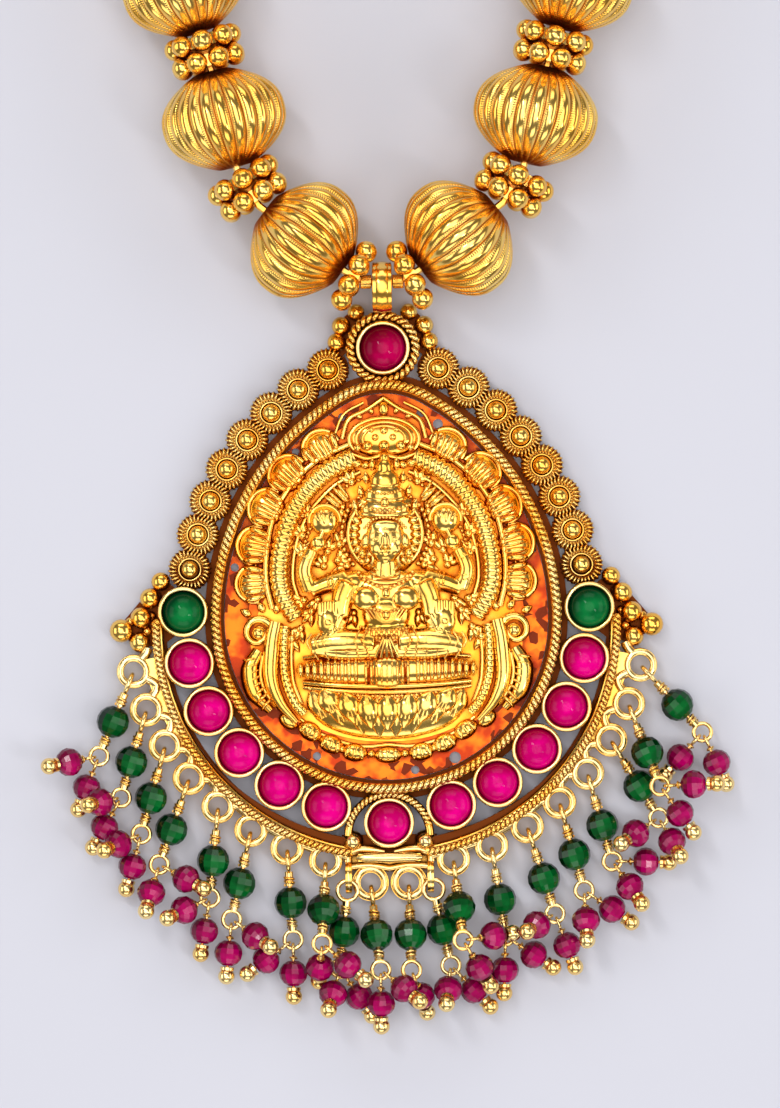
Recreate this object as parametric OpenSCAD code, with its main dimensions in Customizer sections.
// Temple necklace: a long string of ribbed gold beads with granule spacers that carries a
// pear-shaped pendant with a raised seated goddess, set stones, coiled rosettes and a fringe.
// It lies on its back. X is to the wearer's left, Y is up towards the neck, Z is towards the viewer.
// The origin is on the flat back of the pendant. All sizes are millimetres.

/* [Melon beads] */
// Widest diameter of a ribbed melon bead
melon_d = 15; // [14:0.1:16]
// Length of a melon bead along the string
melon_len = 11.6; // [11:0.1:12.4]
// Number of ribs round a melon bead
melon_ribs = 12; // [9:1:12]
// Depth of the grooves between the ribs
groove_depth = 0.5; // [0.3:0.05:0.8]
// Diameter of the bore through the melon beads and spacers
bore_d = 1.8; // [1.6:0.1:2.2]
// Melon beads on each side of the pendant
melons_per_side = 13; // [12:1:13]

/* [Spacers] */
// Diameter of a granule in a spacer
granule_d = 2.55; // [2.4:0.05:2.6]
// Granules round one ring of a spacer
granules = 8; // [7:1:8]
// Diameter of the circle that the granules' middles stand on
spacer_d = 6.9; // [6.8:0.1:7.2]
// Distance between the two rings of a spacer
ring_pitch = 2.4; // [2.35:0.05:2.8]
// Free space along the string between a bead and a spacer
string_gap = 0.12; // [0.1:0.02:0.3]

/* [String and clasp] */
// Diameter of the string wire
wire_d = 0.9; // [0.7:0.05:1.1]
// Outer diameter of the barrel clasp
clasp_d = 5; // [4:0.1:6]
// How fast the string turns inwards on its way to the clasp
back_turn = 0.63; // [0.62:0.01:0.64]

/* [Pendant frame] */
// Half width of the pear-shaped frame, to the middle of its rope
frame_half_w = 20.35; // [19.9:0.05:21]
// Radius of the frame's long sides
frame_side_r = 30.6; // [30:0.1:31.4]
// Radius of the frame's rounded peak
frame_top_r = 10; // [9:0.5:11]
// Radius of the rope wires of the frame and the crescent
rope_r = 0.6; // [0.5:0.05:0.65]
// Height of the frame's rope above the back
frame_h = 3.2; // [3:0.1:3.6]
// Height of the crescent's rope above the back
crescent_h = 2.7; // [2.5:0.1:3]
// Thickness of the upright walls under the ropes
wall = 1; // [0.8:0.05:1.1]
// Thickness of the flanges, collars and plates at the back
back_t = 0.8; // [0.6:0.05:1]

/* [Set stones] */
// Diameter of a side stone
stone_d = 4.86; // [4.6:0.02:4.9]
// Diameter of the top stone
top_stone_d = 5.3; // [5:0.05:5.6]
// Height of a stone's dome above its girdle
dome_h = 1.6; // [1.2:0.1:1.8]
// Thickness of the wall of a stone's cup
cup_wall = 0.45; // [0.4:0.05:0.5]
// Free space between a stone and its cup
stone_gap = 0.1; // [0.05:0.05:0.15]
// Height of a stone's cup above the back
cup_h = 3.3; // [3:0.1:3.6]
// Stones on each side between the middle and the green one, counting it
side_stones = 6; // [5:1:6]

/* [Rosettes and granules] */
// Distance between the middles of two rosettes
rosette_pitch = 4.28; // [4.2:0.02:4.5]
// Diameter of a coiled rosette
rosette_d = 4.16; // [4:0.02:4.18]
// Rosettes on each side of the frame
rosettes = 8; // [7:1:8]
// Diameter of the coil's wire bundle in a rosette
coil_d = 1; // [0.9:0.05:1.1]
// Diameter of the granule in the middle of a rosette
rosette_granule_d = 2.2; // [2:0.1:2.3]
// Diameter of the bigger granules beside the stones
corner_granule_d = 2.35; // [2:0.05:2.4]

/* [Eyelets] */
// Outer diameter of an eyelet of the fringe
eyelet_d = 3.9; // [3.7:0.05:4]
// Hole of an eyelet
eyelet_hole = 2.5; // [2.4:0.05:2.7]
// Thickness of an eyelet
eyelet_t = 1.2; // [1:0.05:1.3]
// Distance between the middles of two eyelets along the crescent
eyelet_pitch = 4.83; // [4.75:0.01:4.95]

/* [Bail] */
// Width of the bail's strap
bail_w = 2.2; // [1.8:0.1:2.3]
// Thickness of the bail's strap
bail_t = 0.55; // [0.45:0.05:0.65]
// Inner width of the bail's loop
bail_in = 4.8; // [4.6:0.1:5]

/* [Fringe] */
// Diameter and length of a green bead
green_d = 3.9; // [3.8:0.05:4.1]
// Diameter of a ruby bead
ruby_d = 3.4; // [3.2:0.05:3.5]
// Length of a ruby bead along its pin
ruby_len = 3.2; // [3:0.05:3.3]
// Diameter of the gold ball at the end of a ruby pin
tip_d = 2; // [1.8:0.05:2.1]
// Diameter of the wire of a green bead's pin
pin_d = 0.56; // [0.5:0.02:0.6]
// Diameter of the wire of a ruby bead's pin
fine_pin_d = 0.38; // [0.36:0.02:0.42]
// Free space between a bead of the fringe and the wire wraps beside it
bead_gap = 0.08; // [0.06:0.01:0.12]

/* [Goddess relief] */
// Thickness of the pierced sheet behind the relief
sheet_t = 0.7; // [0.6:0.05:0.9]
// Highest point of the relief above its sheet
relief_h = 5.6; // [4.5:0.1:6.5]
// Free space round the pierced sheet and under the relief
seat_gap = 0.1; // [0.08:0.01:0.15]

/* [Hidden] */
$fn = 48;

sides = ["left", "right"];
function two_digits(k) = k < 10 ? str("0", k) : str(k);
function melon_name(side, k) = str("melon_", side, "_", two_digits(k));
function stone_name(side, k) = str("stone_", side, "_", k);

gold = "#e8b54a";
ruby_red = "#c4085a";
emerald = "#0b5a24";

// Frame outline: a lower half circle, two long side arcs and a small top arc, all tangent.
frame_y = -2.1;
side_x = frame_half_w - frame_side_r;
top_drop = frame_side_r - frame_top_r;
top_y = frame_y + sqrt(top_drop * top_drop - side_x * side_x);
side_end = atan2(top_y - frame_y, -side_x);
peak_y = top_y + frame_top_r;
flange_in = wall / 2 + 0.4;
flange_out = 1.35;
ledge_h = back_t - 0.3;

// Stones: one row of cups round the lower half, one in the middle and one on top.
cup_r = stone_d / 2 + stone_gap + cup_wall;
row_y = frame_y + 0.7;
row_r = frame_half_w + rope_r + cup_r + 0.32;
cup_step = 2 * asin((cup_r + 0.1) / row_r);
first_cup = asin(7.45 / row_r);
middle_y = row_y - row_r - 0.85;
top_cup_r = top_stone_d / 2 + stone_gap + cup_wall;
collar_r = top_cup_r + 0.65;
collar_rope_r = 0.45;
top_stone_y = peak_y + collar_r + 0.55;
seat_h = 0.9;
function cup_angle(k) = first_cup + cup_step * (k - 1);
function cup_x(k) = row_r * sin(cup_angle(k));
function cup_y(k) = row_y - row_r * cos(cup_angle(k));

// Crescent round the row of stones, and the row of eyelets outside it.
crescent_y = frame_y - 0.9;
crescent_r = row_r + cup_r;
crescent_gap = asin(4.4 / crescent_r);
eyelet_y = frame_y + 1.3;
eyelet_row_r = crescent_r + eyelet_d;
eyelet_step = 2 * asin(eyelet_pitch / 2 / eyelet_row_r);
first_eyelet = asin(7.63 / eyelet_row_r);
eyelets = 8;
eyelet_z = 2;
middle_eyelet_d = eyelet_d + 0.4;
middle_eyelet_x = middle_eyelet_d / 2 + 0.13;
middle_eyelet_y = middle_y - 7.2;
middle_eyelet_z = 1.5;
side_loop_x = 4.9;
side_loop_y = middle_y - 6.5;
side_loop_w = 0.7;
bar_y = middle_y - 4.15;
arch_r = cup_r + 1.9;
arch_y = middle_y - 1.5;

// Rosettes follow the frame's long sides.
rosette_row_r = frame_side_r + rope_r + 3;
rosette_step = 2 * asin(rosette_pitch / 2 / rosette_row_r);
first_rosette = 10.3;
rosette_base_r = rosette_pitch / 2 + 0.35;
coil_r = (rosette_d - coil_d) / 2;
coil_z = 1.7;

// Granules beside the top stone and at the ends of the crescent: x, y and share of the size.
top_granules = [[3.15, 4.3, 0.82], [4.95, 2.7, 0.9], [5.5, 0.75, 0.9]];
end_granules = [[26.9, 2.6, 0.88], [28.2, 0.6, 0.96], [29.3, -1.7, 1], [31.7, -3.2, 1.08], [29.5, -4.6, 0.96]];

// String: the middle of bead 1, and how far each bead is turned outwards from the Y axis.
string_z = melon_d / 2;
first_bead = [9.15, 42.95];
bead_turns = [52, 14, for (k = [3:melons_per_side]) 18 - back_turn * pow(k - 3, 2)];
spacer_turns = [
    62, 31, for (k = [2:melons_per_side - 1]) (bead_turns[k - 1] + bead_turns[k]) / 2,
    (bead_turns[melons_per_side - 1] - 90) / 2
];
ring_t = granule_d - 0.25;
spacer_len = ring_pitch + ring_t;
bend_room = 0.002;
function heading(turn) = [sin(turn), cos(turn)];
// A bead stands off from its spacer by the gap and by more where the string bends.
function reach(k, way) = let (bend = bead_turns[k - 1] - spacer_turns[way > 0 ? k : k - 1])
    melon_len / 2 + string_gap + bend_room * bend * bend;
function bead_mid(k) = k == 1 ? first_bead
    : bead_mid(k - 1) + reach(k - 1, 1) * heading(bead_turns[k - 2])
        + spacer_len * heading(spacer_turns[k - 1]) + reach(k, -1) * heading(bead_turns[k - 1]);
function bead_end(k, way) = bead_mid(k) + way * reach(k, way) * heading(bead_turns[k - 1]);
last_spacer = bead_end(melons_per_side, 1) + spacer_len * heading(spacer_turns[melons_per_side]);
wire_y = first_bead[1] - 5.05;
clasp_y = last_spacer[1];
clasp_web = 1.6;
clasp_gap = 1.4;

// Bail: an upright loop behind the peak of the pendant that the string runs through.
bail_out = bail_in + 2 * bail_t;
bail_y = top_stone_y + collar_r + collar_rope_r + bail_out / 2 - 0.1;
bail_top = string_z + wire_d / 2 + 0.45 + bail_t;
bail_bottom = 0.6;

// Fringe: each drop hangs from an eyelet as a pin with a green bead and a ring, and from the
// ring hang ruby pins. Lengths are from the eyelet's middle, and from the ring's wire.
top_ring_r = 1.2;
top_ring_at = (eyelet_d + eyelet_hole) / 4;
green_at = top_ring_at + top_ring_r + pin_d / 2 + 1.4 + green_d / 2 + bead_gap;
low_ring_r = 1.05;
low_ring_wire = 0.5;
low_ring_at = green_at + green_d / 2 + bead_gap + 1.1 + low_ring_r + low_ring_wire / 2;
eye_r = 0.75;
eye_slip = eye_r - fine_pin_d / 2 - low_ring_wire / 2 - 0.1;
ruby_at = eye_r + fine_pin_d / 2 + 0.15 + bead_gap + ruby_len / 2;
tip_at = ruby_at + ruby_len / 2 + bead_gap + 0.25 + tip_d / 2 - 0.15;

function eyelet_pos(k) = [
    eyelet_row_r * sin(first_eyelet + eyelet_step * (k - 1)),
    eyelet_y - eyelet_row_r * cos(first_eyelet + eyelet_step * (k - 1))
];
// A drop's place: eyelets 1 to 8 count outwards, 0 is beside the middle and -1 is the side loop.
function drop_pos(k) = k > 0 ? eyelet_pos(k)
    : k == 0 ? [middle_eyelet_x, middle_eyelet_y - 0.1] : [side_loop_x, side_loop_y];
function drop_z(k) = k > 0 ? eyelet_z : k == 0 ? middle_eyelet_z : eyelet_z + 0.5;
// Each drop: eyelet, outward swing, lift, and for each ruby its outward turn and lift, in degrees.
drops_left = [
    [8, 23, 0, [[80, 32], [22, 0]]],
    [7, 17, 0, [[80, 62], [30, 0]]],
    [6, 16, 0, [[68, 52], [16, 0]]],
    [5, 20, 0, [[16, 38], [-62, 30]]],
    [4, 6, 0, [[10, 0], [66, 40]]],
    [3, 13, 0, [[6, 0], [-56, 38]]],
    [2, -3, 0, [[54, 0], [0, 0]]],
    [1, 3, 32, [[6, -50], [-50, 12]]],
    [-1, 6, -4, [[17, 48], [-33, 0]]],
    [0, -6, 24, [[0, -8], [-52, 34]]]
];
drops_right = [
    [0, 1, 24, [[19, -38]]],
    [-1, 12, -4, [[-8, 55], [43, 0]]],
    [1, 6, 34, [[96, -30], [30, -20]]],
    [2, 8, 0, [[-2, 0], [56, 0]]],
    [3, 17, 0, [[-62, 60], [20, 0]]],
    [4, 15, 0, [[2, 34], [55, 0]]],
    [5, 15, 0, [[34, 30], [88, 0]]],
    [6, 31, 0, [[-58, 40], [28, 46]]],
    [7, 20, 20, [[35, 0], [92, 10]]],
    [8, 42, 0, [[-42, 0], [24, 0]]]
];

// Relief: shares of the frame's half width and height, so that it follows the frame.
relief_w = frame_half_w / 20.35;
relief_rows = 30;
relief_spokes = 96;

// Puts its children on both sides of the middle line.
module both_sides() {
    children();
    mirror([1, 0, 0]) children();
}

// Puts its children on one side: the right as modelled, the left mirrored.
module on_side(side) {
    if (side == "right") children();
    else mirror([1, 0, 0]) children();
}

// A bar with the children's profile, swept about a centre from one angle to another.
module arc_bar(centre, from, to) {
    translate(centre) rotate([0, 0, from]) rotate_extrude(angle = to - from, $fn = 96) children();
}

// Profile of a rim: a flange, an upright wall and a rope on top.
module rim_profile(r, h, inner, outer) {
    union() {
        translate([r - inner, 0]) square([inner + outer, ledge_h]);
        translate([r - wall / 2, 0]) square([wall, h]);
        translate([r, h]) circle(r = rope_r);
    }
}

// Profile of a stone's cup: a floor and a wall.
module cup_profile(r) {
    union() {
        square([r, seat_h]);
        translate([r - cup_wall, 0]) square([cup_wall, cup_h]);
    }
}

module stone_cup(r) {
    rotate_extrude() cup_profile(r);
}

// The top stone's cup with its rope collar.
module top_cup() {
    rotate_extrude() union() {
        cup_profile(top_cup_r);
        square([collar_r + 0.2, back_t]);
        translate([collar_r - 0.3, 0]) square([0.6, cup_h - 0.6]);
        translate([collar_r, cup_h - 0.6]) circle(r = collar_rope_r);
    }
}

// A rosette: a round foot, a coiled ring and a granule in a shallow cup.
module rosette() {
    rotate_extrude() intersection() {
        square([rosette_base_r, coil_z + coil_d / 2 + rosette_granule_d]);
        union() {
            square([rosette_base_r, back_t]);
            square([coil_r, coil_z]);
            translate([coil_r, coil_z]) circle(d = coil_d);
            translate([0, coil_z + 0.5]) circle(d = rosette_granule_d);
        }
    }
}

// A granule on a round foot that reaches the back.
module foot_granule(d) {
    rotate_extrude() intersection() {
        square([d, 2 * d + back_t]);
        union() {
            square([d * 0.46, back_t]);
            square([d * 0.3, back_t + d * 0.5]);
            translate([0, back_t + d * 0.45]) circle(d = d);
        }
    }
}

// The pear-shaped rim, half of it: lower arc, side arc and top arc.
module frame_rim() {
    arc_bar([0, frame_y, 0], -180, 0) rim_profile(frame_half_w, frame_h, flange_in, flange_out);
    both_sides() arc_bar([side_x, frame_y, 0], 0, side_end)
        rim_profile(frame_side_r, frame_h, flange_in, flange_out);
    arc_bar([0, top_y, 0], side_end, 180 - side_end)
        rim_profile(frame_top_r, frame_h, flange_in, flange_out);
}

// Granules on a small plate between the top collar and the first rosette.
module top_shoulder() {
    translate([0, top_stone_y, 0]) {
        linear_extrude(back_t)
            polygon([[2, 3], [2.6, 4.4], [3.7, 4.6], [5.5, 3], [6.1, 0.8], [5.9, -0.9], [5, -1], [3.2, 0.6]]);
        for (g = top_granules) translate([g[0], g[1], 0]) foot_granule(corner_granule_d * g[2]);
    }
}

// The crescent's rim on one side, and the web that carries the eyelets.
module crescent_rim() {
    arc_bar([0, crescent_y, 0], crescent_gap - 90, 2)
        rim_profile(crescent_r, crescent_h, wall / 2 + 0.4, wall / 2);
    arc_bar([0, eyelet_y, 0], first_eyelet - 95, first_eyelet + eyelet_step * (eyelets - 1) - 88)
        translate([eyelet_row_r - 3.2, eyelet_z - eyelet_t / 2]) square([1.75, eyelet_t - 0.1]);
}

module eyelet(d, h) {
    difference() {
        cylinder(d = d, h = h);
        translate([0, 0, -1]) cylinder(d = eyelet_hole, h = h + 2);
    }
}

module eyelet_row() {
    for (k = [1:eyelets]) translate([eyelet_pos(k)[0], eyelet_pos(k)[1], eyelet_z - eyelet_t / 2])
        eyelet(eyelet_d, eyelet_t);
}

// An upright loop seen edge-on, under the middle plate.
module side_loop() {
    translate([side_loop_x - side_loop_w / 2, side_loop_y, eyelet_z]) rotate([0, 90, 0]) difference() {
        cylinder(d = eyelet_d, h = side_loop_w);
        translate([0, 0, -1]) cylinder(d = eyelet_hole, h = side_loop_w + 2);
    }
}

// The middle plate under the lowest stone: rope arch, granules, bar and its four loops.
module middle_plate() {
    translate([0, middle_y, 0]) stone_cup(cup_r);
    linear_extrude(seat_h) polygon([
        [-arch_r - 0.8, arch_y], [arch_r + 0.8, arch_y],
        [side_loop_x + side_loop_w / 2, bar_y - 0.4], [-side_loop_x - side_loop_w / 2, bar_y - 0.4]
    ]);
    linear_extrude(eyelet_z - 0.5) polygon([
        [-side_loop_x - side_loop_w / 2, bar_y + 0.1], [side_loop_x + side_loop_w / 2, bar_y + 0.1],
        [side_loop_x + side_loop_w / 2, side_loop_y + 1.4], [middle_eyelet_x + 0.6, middle_eyelet_y + 1.7],
        [-middle_eyelet_x - 0.6, middle_eyelet_y + 1.7], [-side_loop_x - side_loop_w / 2, side_loop_y + 1.4]
    ]);
    arc_bar([0, arch_y, 0], 0, 180) union() {
        translate([arch_r - 0.5, 0]) square([0.9, crescent_h]);
        translate([arch_r, crescent_h]) circle(r = 0.5);
    }
    translate([-3.7, bar_y - 0.45, 0]) cube([7.4, 0.9, crescent_h + 0.5]);
    both_sides() {
        translate([arch_r - 0.55, arch_y - 0.7, 0]) foot_granule(corner_granule_d);
        translate([middle_eyelet_x, middle_eyelet_y, middle_eyelet_z - 0.5]) eyelet(middle_eyelet_d, 1);
        side_loop();
    }
}

// The end of the crescent: a small plate with a bunch of granules.
module crescent_end() {
    linear_extrude(back_t) polygon([
        [cup_x(side_stones), cup_y(side_stones) + 2], [26.6, 3], [28.8, 1], [31.9, -2.6],
        [31.7, -3.9], [29.6, -5.1], [crescent_r - 0.4, -5.1], [cup_x(side_stones), cup_y(side_stones) - 2]
    ]);
    for (g = end_granules) translate([g[0], g[1], 0]) foot_granule(corner_granule_d * g[2]);
}

// An upright loop on a foot that stands on the top collar.
module bail() {
    translate([-bail_w / 2, bail_y, 0]) rotate([90, 0, 90]) linear_extrude(bail_w) difference() {
        bail_outline(bail_out / 2, 0);
        bail_outline(bail_in / 2, bail_t);
    }
    translate([-bail_w / 2, bail_y - bail_out / 2 - 1.1, 0]) cube([bail_w, 1.4, 2.4]);
}

// Side view of the bail's loop, drawn in by an inset.
module bail_outline(r, inset) {
    low = bail_bottom + inset + r;
    high = bail_top - inset - r;
    translate([0, low]) circle(r = r);
    translate([0, high]) circle(r = r);
    translate([-r, low]) square([2 * r, high - low]);
}

module pendant_frame() {
    color(gold) union() {
        frame_rim();
        both_sides() crescent_rim();
        both_sides() eyelet_row();
        both_sides() for (k = [1:side_stones]) translate([cup_x(k), cup_y(k), 0]) stone_cup(cup_r);
        both_sides() for (k = [0:rosettes - 1]) {
            a = first_rosette + rosette_step * k;
            translate([side_x + rosette_row_r * cos(a), frame_y + rosette_row_r * sin(a), 0]) rosette();
        }
        translate([0, top_stone_y, 0]) top_cup();
        both_sides() top_shoulder();
        both_sides() crescent_end();
        middle_plate();
        bail();
    }
}

// A domed stone on its seat.
module cabochon(d) {
    girdle = cup_h - 0.35;
    ball_r = (d * d / 4 + dome_h * dome_h) / (2 * dome_h);
    rotate_extrude() intersection() {
        union() {
            translate([0, seat_h + stone_gap]) square([d / 2, girdle - seat_h - stone_gap]);
            intersection() {
                translate([0, girdle + dome_h - ball_r]) circle(r = ball_r, $fn = 96);
                translate([0, girdle]) square([d, ball_r]);
            }
        }
        square([d, cup_h + ball_r]);
    }
}

module stone(side, k) {
    color(k == side_stones ? emerald : ruby_red) on_side(side)
        translate([cup_x(k), cup_y(k), 0]) cabochon(stone_d);
}

module stone_middle() {
    color(ruby_red) translate([0, middle_y, 0]) cabochon(stone_d);
}

module stone_top() {
    color(ruby_red) translate([0, top_stone_y, 0]) cabochon(top_stone_d);
}

// Inside of the frame's wall, drawn in by an inset: four arcs as discs and a band.
module frame_inside(inset) {
    intersection() {
        translate([-side_x, frame_y]) circle(r = frame_side_r - inset, $fn = 180);
        translate([side_x, frame_y]) circle(r = frame_side_r - inset, $fn = 180);
        translate([-frame_half_w, frame_y])
            square([2 * frame_half_w, top_y + (frame_top_r - inset) * sin(side_end) - frame_y]);
    }
    intersection() {
        translate([0, frame_y]) circle(r = frame_half_w - inset, $fn = 180);
        translate([-frame_half_w, frame_y - frame_half_w]) square([2 * frame_half_w, frame_half_w]);
    }
    translate([0, top_y]) circle(r = frame_top_r - inset, $fn = 96);
}

// Small irregular holes in the sheet, in the band round the relief. Under the middle: side, angle,
// distance from the frame's rope and diameter. Beside it: side, share of the side arc, and the same.
low_holes = [[1, -64.5, 1.75, 1.4], [1, -80, 1.85, 1], [-1, -62.6, 1.85, 1]];
side_holes = [
    [-1, 0.807, 1.8, 1.4], [-1, 0.728, 1.7, 0.9], [-1, 0.959, 2.05, 0.9], [-1, 0.208, 1.6, 1],
    [1, 0.812, 1.65, 1], [1, 0.9, 2.05, 1.2], [1, 0.982, 2.05, 1], [1, 0.267, 1.6, 0.9]
];
module sheet_hole(at, side, angle, reach, d) {
    translate([side * (at + reach * cos(angle)), frame_y + reach * sin(angle)]) circle(d = d);
}

module pierced_sheet() {
    inset = flange_in + seat_gap;
    color(gold) linear_extrude(sheet_t) difference() {
        frame_inside(inset);
        for (h = low_holes) sheet_hole(0, h[0], h[1], frame_half_w - h[2], h[3]);
        for (h = side_holes) sheet_hole(side_x, h[0], h[1] * side_end, frame_side_r - h[2], h[3]);
    }
}

// Outline of the relief: angle from the X axis and reach from its middle, for the right half.
relief_outline = [
    [-90, 19.6], [-80, 19.5], [-70, 19.3], [-60, 19], [-50, 18.6], [-40, 18.5], [-30, 18.3],
    [-15, 17.9], [-5, 17.3], [2, 17.3], [10, 17.6], [18, 18], [26, 18.4], [34, 18.8], [42, 19.3],
    [50, 20], [58, 20.7], [66, 21.3], [74, 21.8], [82, 22.5], [86, 23.2], [90, 24]
];
// Rounded forms of the relief, the right half of each: x, y, half width, half height, turn of
// its own axes, height at its rim and height at its middle, as shares of the relief's height.
relief_forms = [
    // arch: scallops and ribbed band
    [7.3, 18.2, 2.4, 1.7, -28, 0.12, 0.4], [11.2, 15, 2.3, 1.7, -46, 0.12, 0.4],
    [13.7, 11.3, 2.2, 1.7, -62, 0.12, 0.4], [15.3, 7, 2.1, 1.7, -78, 0.12, 0.4],
    [15.6, 2.7, 2.1, 1.7, -90, 0.12, 0.4], [4.6, 16.9, 2.4, 1.3, -30, 0.25, 0.42],
    [8.8, 13.9, 2.6, 1.3, -46, 0.25, 0.42], [11.3, 10.2, 2.5, 1.3, -66, 0.25, 0.42],
    [12.3, 6.2, 2.5, 1.3, -84, 0.25, 0.42], [12.2, 2, 2.5, 1.3, -96, 0.25, 0.42],
    [10.9, -1.4, 2, 1.2, -116, 0.2, 0.36],
    // fan and gable over the crown
    [0, 20.1, 4.2, 2.6, 0, 0.25, 0.55], [1.1, 22.6, 1.8, 0.9, -50, 0.15, 0.35],
    // halo, crown, head and neck
    [0, 8.6, 5.4, 6, 0, 0.18, 0.34], [0, 16.8, 1.4, 1.6, 0, 0.4, 0.7], [0, 14.2, 2.2, 2, 0, 0.5, 0.86],
    [0, 11.8, 2.7, 1.9, 0, 0.5, 0.92], [0, 7.4, 2.25, 2.85, 0, 0.55, 1], [0, 3.9, 1.7, 1.4, 0, 0.5, 0.72],
    // shoulders, chest, waist and hips
    [2.6, 2.6, 2.8, 1.7, -14, 0.4, 0.74], [1.7, 0.2, 2, 1.9, 0, 0.45, 0.86],
    [0, -2.2, 2.6, 2.6, 0, 0.4, 0.7],
    // front arms and raised palms
    [4.9, -0.4, 1.3, 2.5, -12, 0.35, 0.7], [6.2, -2.6, 1.6, 1.2, 30, 0.35, 0.7],
    [6.9, -1.4, 1.2, 2.2, 4, 0.4, 0.78],
    // back arms, hands and lotus buds
    [6.6, 2.2, 2.8, 1.1, 6, 0.3, 0.55], [8.9, 4, 1.1, 2.5, 10, 0.3, 0.55],
    [7.4, 7, 1.2, 1.5, 20, 0.35, 0.6], [6.9, 10, 1.7, 2.1, 8, 0.3, 0.62],
    // folded legs and knees
    [4.6, -4.9, 4.8, 1.7, -4, 0.4, 0.76], [8, -5, 1.9, 1.6, 0, 0.4, 0.7],
    // lotus seat and its petals
    [0, -8.4, 10.8, 1.9, 0, 0.52, 0.64], [8.2, -8.4, 2.6, 1.9, 0, 0.48, 0.62],
    [1.8, -12.4, 2.2, 3.6, 4, 0.3, 0.58], [4.9, -12, 2, 3.6, 18, 0.3, 0.55],
    [7.6, -11.2, 1.9, 3.2, 34, 0.28, 0.5],
    // beaded hem under the seat
    [0, -18, 2.1, 1, 0, 0.15, 0.36], [4, -17.6, 1.8, 0.95, 10, 0.15, 0.36],
    [6.9, -16.7, 1.4, 0.95, 22, 0.15, 0.34], [9.3, -15.5, 1.4, 0.95, 34, 0.15, 0.34],
    // scroll posts beside the seat
    [15.5, -3.4, 2, 2.1, 0, 0.25, 0.5], [13.6, -6.8, 1.2, 4.8, 4, 0.25, 0.5],
    [12, -7.6, 1, 5.2, 6, 0.25, 0.46], [15.5, -9.2, 1.5, 2.6, 14, 0.2, 0.42],
    [12.6, -13.2, 1.9, 1.7, 40, 0.15, 0.36]
];

function outline_reach(a, i = 1) = a <= relief_outline[i][0] || i == len(relief_outline) - 1
    ? relief_outline[i - 1][1] + (relief_outline[i][1] - relief_outline[i - 1][1])
        * (a - relief_outline[i - 1][0]) / (relief_outline[i][0] - relief_outline[i - 1][0])
    : outline_reach(a, i + 1);

// Height of one form over a point, as a share, or nothing outside it.
function form_height(f, x, y) = let (
        u = ((x - f[0]) * cos(f[4]) + (y - f[1]) * sin(f[4])) / f[2],
        v = ((y - f[1]) * cos(f[4]) - (x - f[0]) * sin(f[4])) / f[3],
        d = u * u + v * v
    ) d >= 1 ? 0 : f[5] + (f[6] - f[5]) * sqrt(1 - d);
function relief_share(x, y) = max([for (f = relief_forms) form_height(f, x, y)]);
function relief_height(x, y) = relief_h * max(0.1, relief_share(abs(x), y), relief_share(-abs(x), y));

// The raised figure: a closed mesh over rings of points about its middle.
module goddess_relief() {
    rows = relief_rows;
    spokes = relief_spokes;
    rings = [for (i = [1:rows], j = [0:spokes - 1]) let (
            a = 360 * j / spokes,
            lean = abs(((a + 270) % 360) - 180) - 90,
            share = i / rows,
            r = outline_reach(lean) * share,
            x = r * cos(a),
            y = r * sin(a)
        ) [x * relief_w, y, relief_height(x, y)]];
    hem = [for (j = [0:spokes - 1]) let (p = rings[(rows - 1) * spokes + j]) [p[0], p[1], 0]];
    points = concat([[0, 0, relief_height(0, 0)]], rings, hem, [[0, 0, 0]]);
    last = len(points) - 1;
    hub = [for (j = [0:spokes - 1]) [0, 1 + (j + 1) % spokes, 1 + j]];
    skin = [for (i = [0:rows - 1], j = [0:spokes - 1]) let (
            a = 1 + i * spokes + j,
            b = 1 + i * spokes + (j + 1) % spokes
        ) each [[a, b, b + spokes], [a, b + spokes, a + spokes]]];
    base = [for (j = [0:spokes - 1]) [last, 1 + rows * spokes + j, 1 + rows * spokes + (j + 1) % spokes]];
    color(gold) translate([0, 0, sheet_t + seat_gap])
        polyhedron(points = points, faces = concat(hub, skin, base));
}

// Reach of a melon bead from its axis at a share of its half length.
function melon_reach(s) = melon_d / 2 * sqrt(1 - 0.92 * s * s);
melon_shares = [-1, -0.78, -0.42, 0, 0.42, 0.78, 1];

// A ribbed bead along Z, drilled for the string.
module melon() {
    n = 2 * melon_ribs;
    rings = len(melon_shares);
    points = [for (s = melon_shares, j = [0:n - 1]) let (
            r = melon_reach(s),
            groove = j % 2 == 0 ? 0 : groove_depth * r / melon_d * 2
        ) [(r - groove) * cos(360 * j / n), (r - groove) * sin(360 * j / n), s * melon_len / 2]];
    skin = [for (i = [0:rings - 2], j = [0:n - 1]) let (
            a = i * n + j,
            b = i * n + (j + 1) % n
        ) each [[a, b + n, b], [a, a + n, b + n]]];
    low = [[for (j = [0:n - 1]) j]];
    high = [[for (j = [0:n - 1]) rings * n - 1 - j]];
    difference() {
        polyhedron(points = points, faces = concat(low, skin, high));
        cylinder(d = bore_d, h = melon_len + 2, center = true);
    }
}

// Lays its children, built along Z, along the string at a place and turn.
module along_string(at, turn) {
    translate([at[0], at[1], string_z]) rotate([-90, 0, -turn]) children();
}

module melon_bead(side, k) {
    color(gold) on_side(side) along_string(bead_mid(k), bead_turns[k - 1]) melon();
}

// One ring of granules round a drilled core.
module granule_ring() {
    rotate_extrude() translate([bore_d / 2, -ring_t * 0.3]) square([(spacer_d - bore_d) / 2, ring_t * 0.6]);
    for (j = [0:granules - 1]) rotate([0, 0, 360 * (j + 0.5) / granules]) translate([spacer_d / 2, 0, 0])
        sphere(d = min(granule_d, spacer_d * sin(180 / granules) - 0.04));
}

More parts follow.
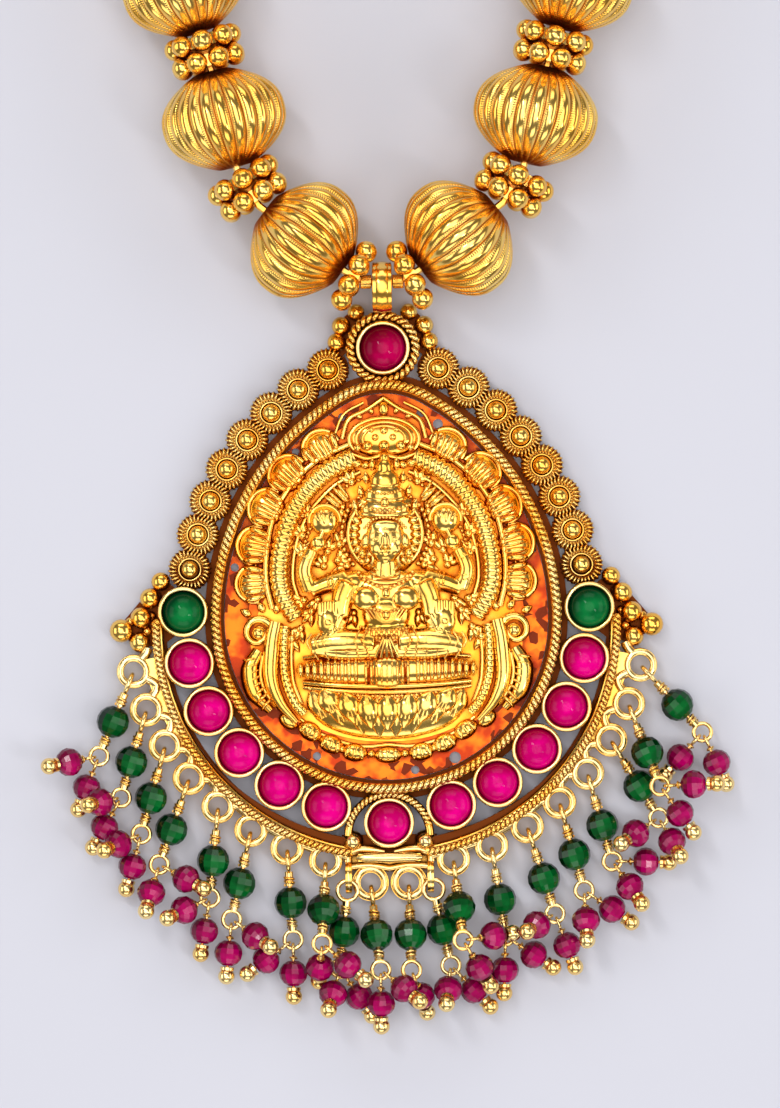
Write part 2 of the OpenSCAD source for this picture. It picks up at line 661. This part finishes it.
// Two rings of granules, turned half a step from each other, joined by a drilled tube.
module spacer() {
    translate([0, 0, -ring_pitch / 2]) granule_ring();
    translate([0, 0, ring_pitch / 2]) rotate([0, 0, 180 / granules]) granule_ring();
    rotate_extrude() translate([bore_d / 2, -ring_pitch / 2]) square([0.9, ring_pitch]);
}

// All spacers of one side: a single ring beside the bail, then one between every two beads.
module spacers(side) {
    color(gold) on_side(side) {
        along_string(bead_end(1, -1) - ring_t / 2 * heading(spacer_turns[0]), spacer_turns[0])
            granule_ring();
        for (k = [1:melons_per_side])
            along_string(bead_end(k, 1) + spacer_len / 2 * heading(spacer_turns[k]), spacer_turns[k])
                spacer();
    }
}

// Corners of the string on the right side, from the bail to the clasp.
first_ring_end = bead_end(1, -1) - ring_t * heading(spacer_turns[0]);
string_corners = concat(
    [[first_ring_end[0] - 1.2, wire_y], first_ring_end],
    [for (k = [1:melons_per_side]) each [bead_end(k, -1), bead_end(k, 1)]],
    [last_spacer, [clasp_web, clasp_y]]
);
string_path = concat(
    [for (i = [len(string_corners) - 1:-1:0]) [-string_corners[i][0], string_corners[i][1]]],
    string_corners
);

// The string wire: a six-sided tube swept through its corners.
module string_wire() {
    count = len(string_path);
    sides_n = 6;
    function way(i) = string_path[min(i + 1, count - 1)] - string_path[max(i - 1, 0)];
    points = [for (i = [0:count - 1], j = [0:sides_n - 1]) let (
            w = way(i) / norm(way(i)),
            a = 360 * j / sides_n
        ) [
            string_path[i][0] - w[1] * wire_d / 2 * cos(a),
            string_path[i][1] + w[0] * wire_d / 2 * cos(a),
            string_z + wire_d / 2 * sin(a)
        ]];
    skin = [for (i = [0:count - 2], j = [0:sides_n - 1]) let (
            a = i * sides_n + j,
            b = i * sides_n + (j + 1) % sides_n
        ) each [[a, b + sides_n, b], [a, a + sides_n, b + sides_n]]];
    low = [[for (j = [0:sides_n - 1]) j]];
    high = [[for (j = [0:sides_n - 1]) count * sides_n - 1 - j]];
    color(gold) polyhedron(points = points, faces = concat(low, skin, high));
}

// A plain barrel clasp whose ends take the string's ends.
module clasp() {
    half = last_spacer[0] - clasp_gap;
    color(gold) translate([0, clasp_y, string_z]) rotate([0, 90, 0]) rotate_extrude() difference() {
        polygon([
            [0, -half], [clasp_d * 0.3, -half], [clasp_d / 2, -half * 0.7], [clasp_d / 2, half * 0.7],
            [clasp_d * 0.3, half], [0, half]
        ]);
        translate([-1, clasp_web - 0.5]) square([1 + bore_d / 2, half]);
        translate([-1, 0.5 - clasp_web - half]) square([1 + bore_d / 2, half]);
    }
}

// A bead cut with flat facets, drilled along X: eight girdle facets and eight more at each end.
module cut_bead(d, length, bore) {
    difference() {
        intersection() {
            rotate([22.5, 0, 0]) rotate([0, 90, 0]) cylinder(d = d, h = length, center = true, $fn = 8);
            bead_ends(d, length, 0);
            bead_ends(d, length, 45);
            bead_ends(d, length, 90);
            bead_ends(d, length, 135);
        }
        rotate([0, 90, 0]) cylinder(d = bore, h = length + 1, center = true);
    }
}

// A square prism on edge across the bead that cuts its slanting facets at one turn about X.
module bead_ends(d, length, turn) {
    rotate([turn, 0, 0]) cylinder(r = length * sin(45), h = d + 1, center = true, $fn = 4);
}

// Lays its children along a drop: from its eyelet, outward swing and lift.
module along_drop(drop) {
    at = drop_pos(drop[0]);
    translate([at[0], at[1], drop_z(drop[0])]) rotate([0, 0, drop[1] - 90])
        translate([top_ring_at, 0, 0]) rotate([0, -drop[2], 0]) translate([-top_ring_at, 0, 0]) children();
}

// Middle of a drop's lower ring, which stays level when the drop is lifted.
function low_ring(drop) = let (
        at = drop_pos(drop[0]),
        pin = low_ring_at - low_ring_r - top_ring_at,
        run = top_ring_at + pin * cos(drop[2]) + low_ring_r
    ) [
        at[0] + run * sin(drop[1]), at[1] - run * cos(drop[1]),
        drop_z(drop[0]) + pin * sin(drop[2])
    ];

// Lays its children along a ruby pin, from the wire of its drop's lower ring.
module along_ruby(drop, pin) {
    translate(low_ring(drop)) rotate([0, 0, pin[0] - 90]) translate([low_ring_r, 0, 0])
        rotate([0, -pin[1], 0]) translate([eye_slip, 0, 0]) children();
}

function drops_of(side) = side == "right" ? drops_right : drops_left;

module green_beads(side) {
    color(emerald) on_side(side) for (drop = drops_of(side)) along_drop(drop)
        translate([green_at, 0, 0]) cut_bead(green_d, green_d, pin_d + 0.3);
}

// A green bead's pin: a loop through the eyelet, the pin and its wraps.
module green_pin(flat_loop) {
    translate([top_ring_at, 0, 0]) rotate([flat_loop ? 0 : 90, 0, 0])
        rotate_extrude() translate([top_ring_r, 0]) circle(d = pin_d, $fn = 24);
    neck = top_ring_at + top_ring_r;
    foot = low_ring_at - low_ring_r;
    above = green_at - green_d / 2 - bead_gap;
    below = green_at + green_d / 2 + bead_gap;
    rotate([0, 90, 0]) rotate_extrude() union() {
        translate([0, neck]) square([0.5, above - neck]);
        translate([0, neck]) square([pin_d / 2, foot - neck]);
        translate([0, below]) square([0.5, foot - below]);
    }
}

module green_pins(side) {
    color(gold) on_side(side) for (drop = drops_of(side)) {
        along_drop(drop) green_pin(drop[0] < 0);
        translate(low_ring(drop)) rotate_extrude() translate([low_ring_r, 0])
            circle(d = low_ring_wire, $fn = 24);
    }
}

module ruby_beads(side) {
    color(ruby_red) on_side(side) for (drop = drops_of(side), pin = drop[3]) along_ruby(drop, pin)
        translate([ruby_at, 0, 0]) cut_bead(ruby_d, ruby_len, fine_pin_d + 0.3);
}

// A ruby bead's pin: an eye on the ring, a wrap, the pin, a small cap and a gold ball.
module ruby_pin() {
    above = ruby_at - ruby_len / 2 - bead_gap;
    below = ruby_at + ruby_len / 2 + bead_gap;
    rotate([90, 0, 0]) rotate_extrude() translate([eye_r, 0]) circle(d = fine_pin_d, $fn = 24);
    rotate([0, 90, 0]) rotate_extrude() intersection() {
        translate([0, eye_r]) square([tip_d, tip_at + tip_d]);
        union() {
            translate([0, eye_r]) square([0.4, above - eye_r]);
            translate([0, eye_r]) square([fine_pin_d / 2, tip_at - eye_r]);
            translate([0, below]) square([tip_d * 0.42, 0.35]);
            translate([0, tip_at]) circle(d = tip_d);
        }
    }
}

module ruby_pins(side) {
    color(gold) on_side(side) for (drop = drops_of(side), pin = drop[3]) along_ruby(drop, pin) ruby_pin();
}

pendant_frame();
pierced_sheet();
goddess_relief();
string_wire();
clasp();
stone_top();
stone_middle();
for (side = sides) {
    spacers(side);
    green_beads(side);
    ruby_beads(side);
    green_pins(side);
    ruby_pins(side);
    for (k = [1:side_stones]) stone(side, k);
    for (k = [1:melons_per_side]) melon_bead(side, k);
}
